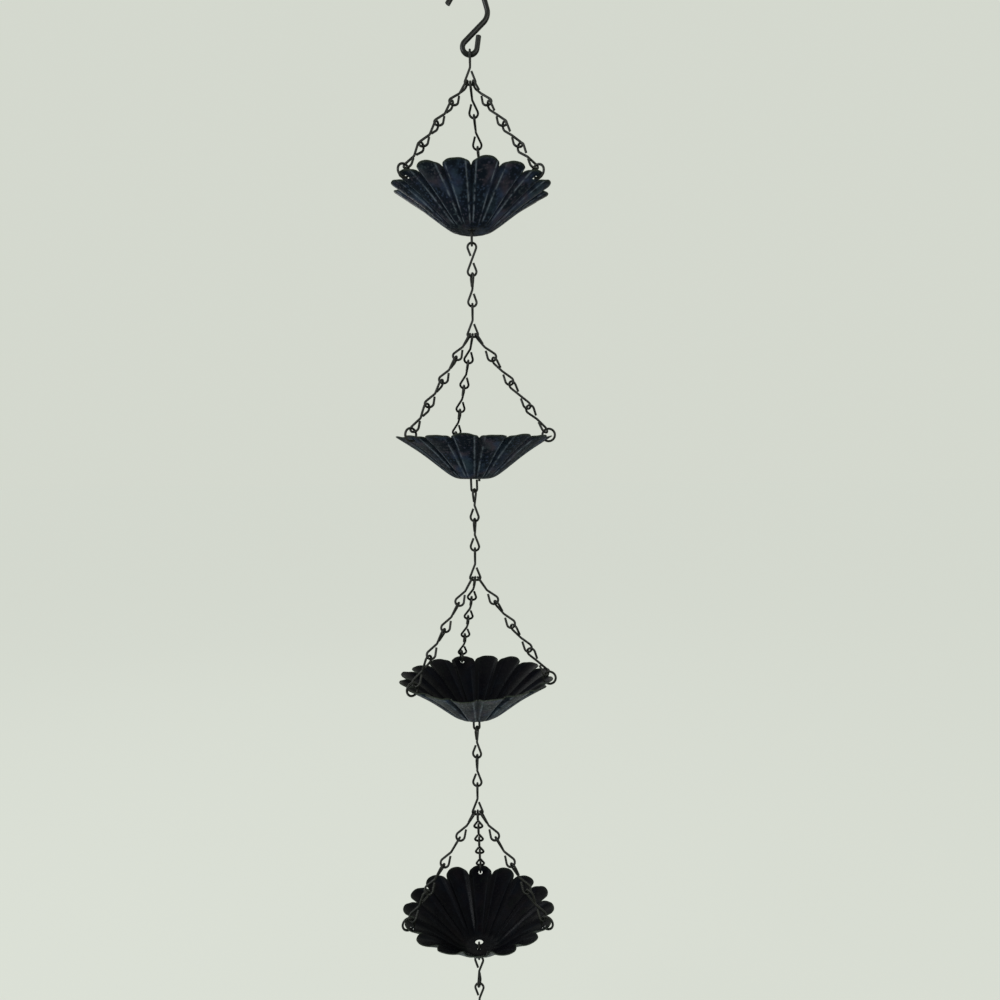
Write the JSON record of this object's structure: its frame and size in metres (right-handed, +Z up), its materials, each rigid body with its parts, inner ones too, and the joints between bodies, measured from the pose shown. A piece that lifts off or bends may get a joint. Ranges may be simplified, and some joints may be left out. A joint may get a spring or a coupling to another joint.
{
  "type": "rain chain",
  "caption": "Rain chain of fluted petal cups hung one below another on wire jack chain from an S-hook.",
  "frame": {"origin": "where the S-hook's upper curve rests on its support", "axes": "+Z up along the hanging chain, +X right, +Y away from the viewer; the S-hook lies in the XZ plane"},
  "size_m": [0.1533, 0.153, 1.0312],
  "materials": {
    "hook_wire": "semi-gloss black enamel",
    "chain_wire": "satin black enamel",
    "cup_sheet": "hammered dark blue-black patina"
  },
  "bodies": {
    "hook": {"s_hook": "hook_wire"},
    "top": {"top_link": "chain_wire"},
    "cup_1_unit": {"cup_1": "cup_sheet", "cup_1_left_leg": "chain_wire", "cup_1_left_ring": "chain_wire", "cup_1_middle_leg": "chain_wire", "cup_1_middle_ring": "chain_wire", "cup_1_right_leg": "chain_wire", "cup_1_right_ring": "chain_wire"},
    "hanger_1": {"hanger_1": "chain_wire"},
    "drop_1a": {"drop_1a": "chain_wire"},
    "drop_1b": {"drop_1b": "chain_wire"},
    "drop_1c": {"drop_1c": "chain_wire"},
    "cup_2_unit": {"cup_2": "cup_sheet", "cup_2_left_leg": "chain_wire", "cup_2_left_ring": "chain_wire", "cup_2_middle_leg": "chain_wire", "cup_2_middle_ring": "chain_wire", "cup_2_right_leg": "chain_wire", "cup_2_right_ring": "chain_wire"},
    "hanger_2": {"hanger_2": "chain_wire"},
    "drop_2a": {"drop_2a": "chain_wire"},
    "drop_2b": {"drop_2b": "chain_wire"},
    "drop_2c": {"drop_2c": "chain_wire"},
    "cup_3_unit": {"cup_3": "cup_sheet", "cup_3_left_leg": "chain_wire", "cup_3_left_ring": "chain_wire", "cup_3_middle_leg": "chain_wire", "cup_3_middle_ring": "chain_wire", "cup_3_right_leg": "chain_wire", "cup_3_right_ring": "chain_wire"},
    "hanger_3": {"hanger_3": "chain_wire"},
    "drop_3a": {"drop_3a": "chain_wire"},
    "drop_3b": {"drop_3b": "chain_wire"},
    "drop_3c": {"drop_3c": "chain_wire"},
    "cup_4_unit": {"cup_4": "cup_sheet", "cup_4_left_leg": "chain_wire", "cup_4_left_ring": "chain_wire", "cup_4_middle_leg": "chain_wire", "cup_4_middle_ring": "chain_wire", "cup_4_right_leg": "chain_wire", "cup_4_right_ring": "chain_wire"},
    "hanger_4": {"hanger_4": "chain_wire"},
    "drop_4a": {"drop_4a": "chain_wire"},
    "drop_4b": {"drop_4b": "chain_wire"},
    "drop_4c": {"drop_4c": "chain_wire"}
  },
  "joints": [
    {"name": "top_link_swing", "type": "hinge", "parent": "hook", "child": "top", "pos_m": [0, 0, -0.0666], "axis": [1, 0, 0], "range_deg": [-20, 20]},
    {"name": "cup_1_swing", "type": "hinge", "parent": "top", "child": "cup_1_unit", "pos_m": [0, 0, -0.0937], "axis": [-1, 0, 0], "range_deg": [-15, 15]},
    {"name": "hanger_1_swing", "type": "hinge", "parent": "cup_1_unit", "child": "hanger_1", "pos_m": [0, 0, -0.22815], "axis": [0, 1, 0], "range_deg": [-12, 12]},
    {"name": "drop_1a_swing", "type": "hinge", "parent": "hanger_1", "child": "drop_1a", "pos_m": [0, 0, -0.24105], "axis": [0, -1, 0], "range_deg": [-20, 20]},
    {"name": "drop_1b_swing", "type": "hinge", "parent": "drop_1a", "child": "drop_1b", "pos_m": [0, 0, -0.26955], "axis": [1, 0, 0], "range_deg": [-20, 20]},
    {"name": "drop_1c_swing", "type": "hinge", "parent": "drop_1b", "child": "drop_1c", "pos_m": [0, 0, -0.29805], "axis": [-0.9511, -0.309, 0], "range_deg": [-20, 20]},
    {"name": "cup_2_swing", "type": "hinge", "parent": "drop_1c", "child": "cup_2_unit", "pos_m": [0, 0, -0.32655], "axis": [1, 0, 0], "range_deg": [-15, 15]},
    {"name": "hanger_2_swing", "type": "hinge", "parent": "cup_2_unit", "child": "hanger_2", "pos_m": [0, 0, -0.46101], "axis": [-1, 0, 0], "range_deg": [-12, 12]},
    {"name": "drop_2a_swing", "type": "hinge", "parent": "hanger_2", "child": "drop_2a", "pos_m": [0, 0, -0.47391], "axis": [1, 0, 0], "range_deg": [-20, 20]},
    {"name": "drop_2b_swing", "type": "hinge", "parent": "drop_2a", "child": "drop_2b", "pos_m": [0, 0, -0.50241], "axis": [0.9511, -0.309, 0], "range_deg": [-20, 20]},
    {"name": "drop_2c_swing", "type": "hinge", "parent": "drop_2b", "child": "drop_2c", "pos_m": [0, 0, -0.53091], "axis": [-0.9848, 0.1736, 0], "range_deg": [-20, 20]},
    {"name": "cup_3_swing", "type": "hinge", "parent": "drop_2c", "child": "cup_3_unit", "pos_m": [0, 0, -0.55941], "axis": [-1, 0, 0], "range_deg": [-15, 15]},
    {"name": "hanger_3_swing", "type": "hinge", "parent": "cup_3_unit", "child": "hanger_3", "pos_m": [0, 0, -0.69386], "axis": [1, 0, 0], "range_deg": [-12, 12]},
    {"name": "drop_3a_swing", "type": "hinge", "parent": "hanger_3", "child": "drop_3a", "pos_m": [0, 0, -0.70676], "axis": [-1, 0, 0], "range_deg": [-20, 20]},
    {"name": "drop_3b_swing", "type": "hinge", "parent": "drop_3a", "child": "drop_3b", "pos_m": [0, 0, -0.73526], "axis": [-0.9659, 0.2588, 0], "range_deg": [-20, 20]},
    {"name": "drop_3c_swing", "type": "hinge", "parent": "drop_3b", "child": "drop_3c", "pos_m": [0, 0, -0.76376], "axis": [0.9945, -0.1045, 0], "range_deg": [-20, 20]},
    {"name": "cup_4_swing", "type": "hinge", "parent": "drop_3c", "child": "cup_4_unit", "pos_m": [0, 0, -0.79226], "axis": [1, 0, 0], "range_deg": [-15, 15]},
    {"name": "hanger_4_swing", "type": "hinge", "parent": "cup_4_unit", "child": "hanger_4", "pos_m": [0, 0, -0.92671], "axis": [0, 1, 0], "range_deg": [-12, 12]},
    {"name": "drop_4a_swing", "type": "hinge", "parent": "hanger_4", "child": "drop_4a", "pos_m": [0, 0, -0.93961], "axis": [0, -1, 0], "range_deg": [-20, 20]},
    {"name": "drop_4b_swing", "type": "hinge", "parent": "drop_4a", "child": "drop_4b", "pos_m": [0, 0, -0.96811], "axis": [-0.2419, -0.9703, 0], "range_deg": [-20, 20]},
    {"name": "drop_4c_swing", "type": "hinge", "parent": "drop_4b", "child": "drop_4c", "pos_m": [0, 0, -0.99661], "axis": [0.1045, 0.9945, 0], "range_deg": [-20, 20]}
  ]
}
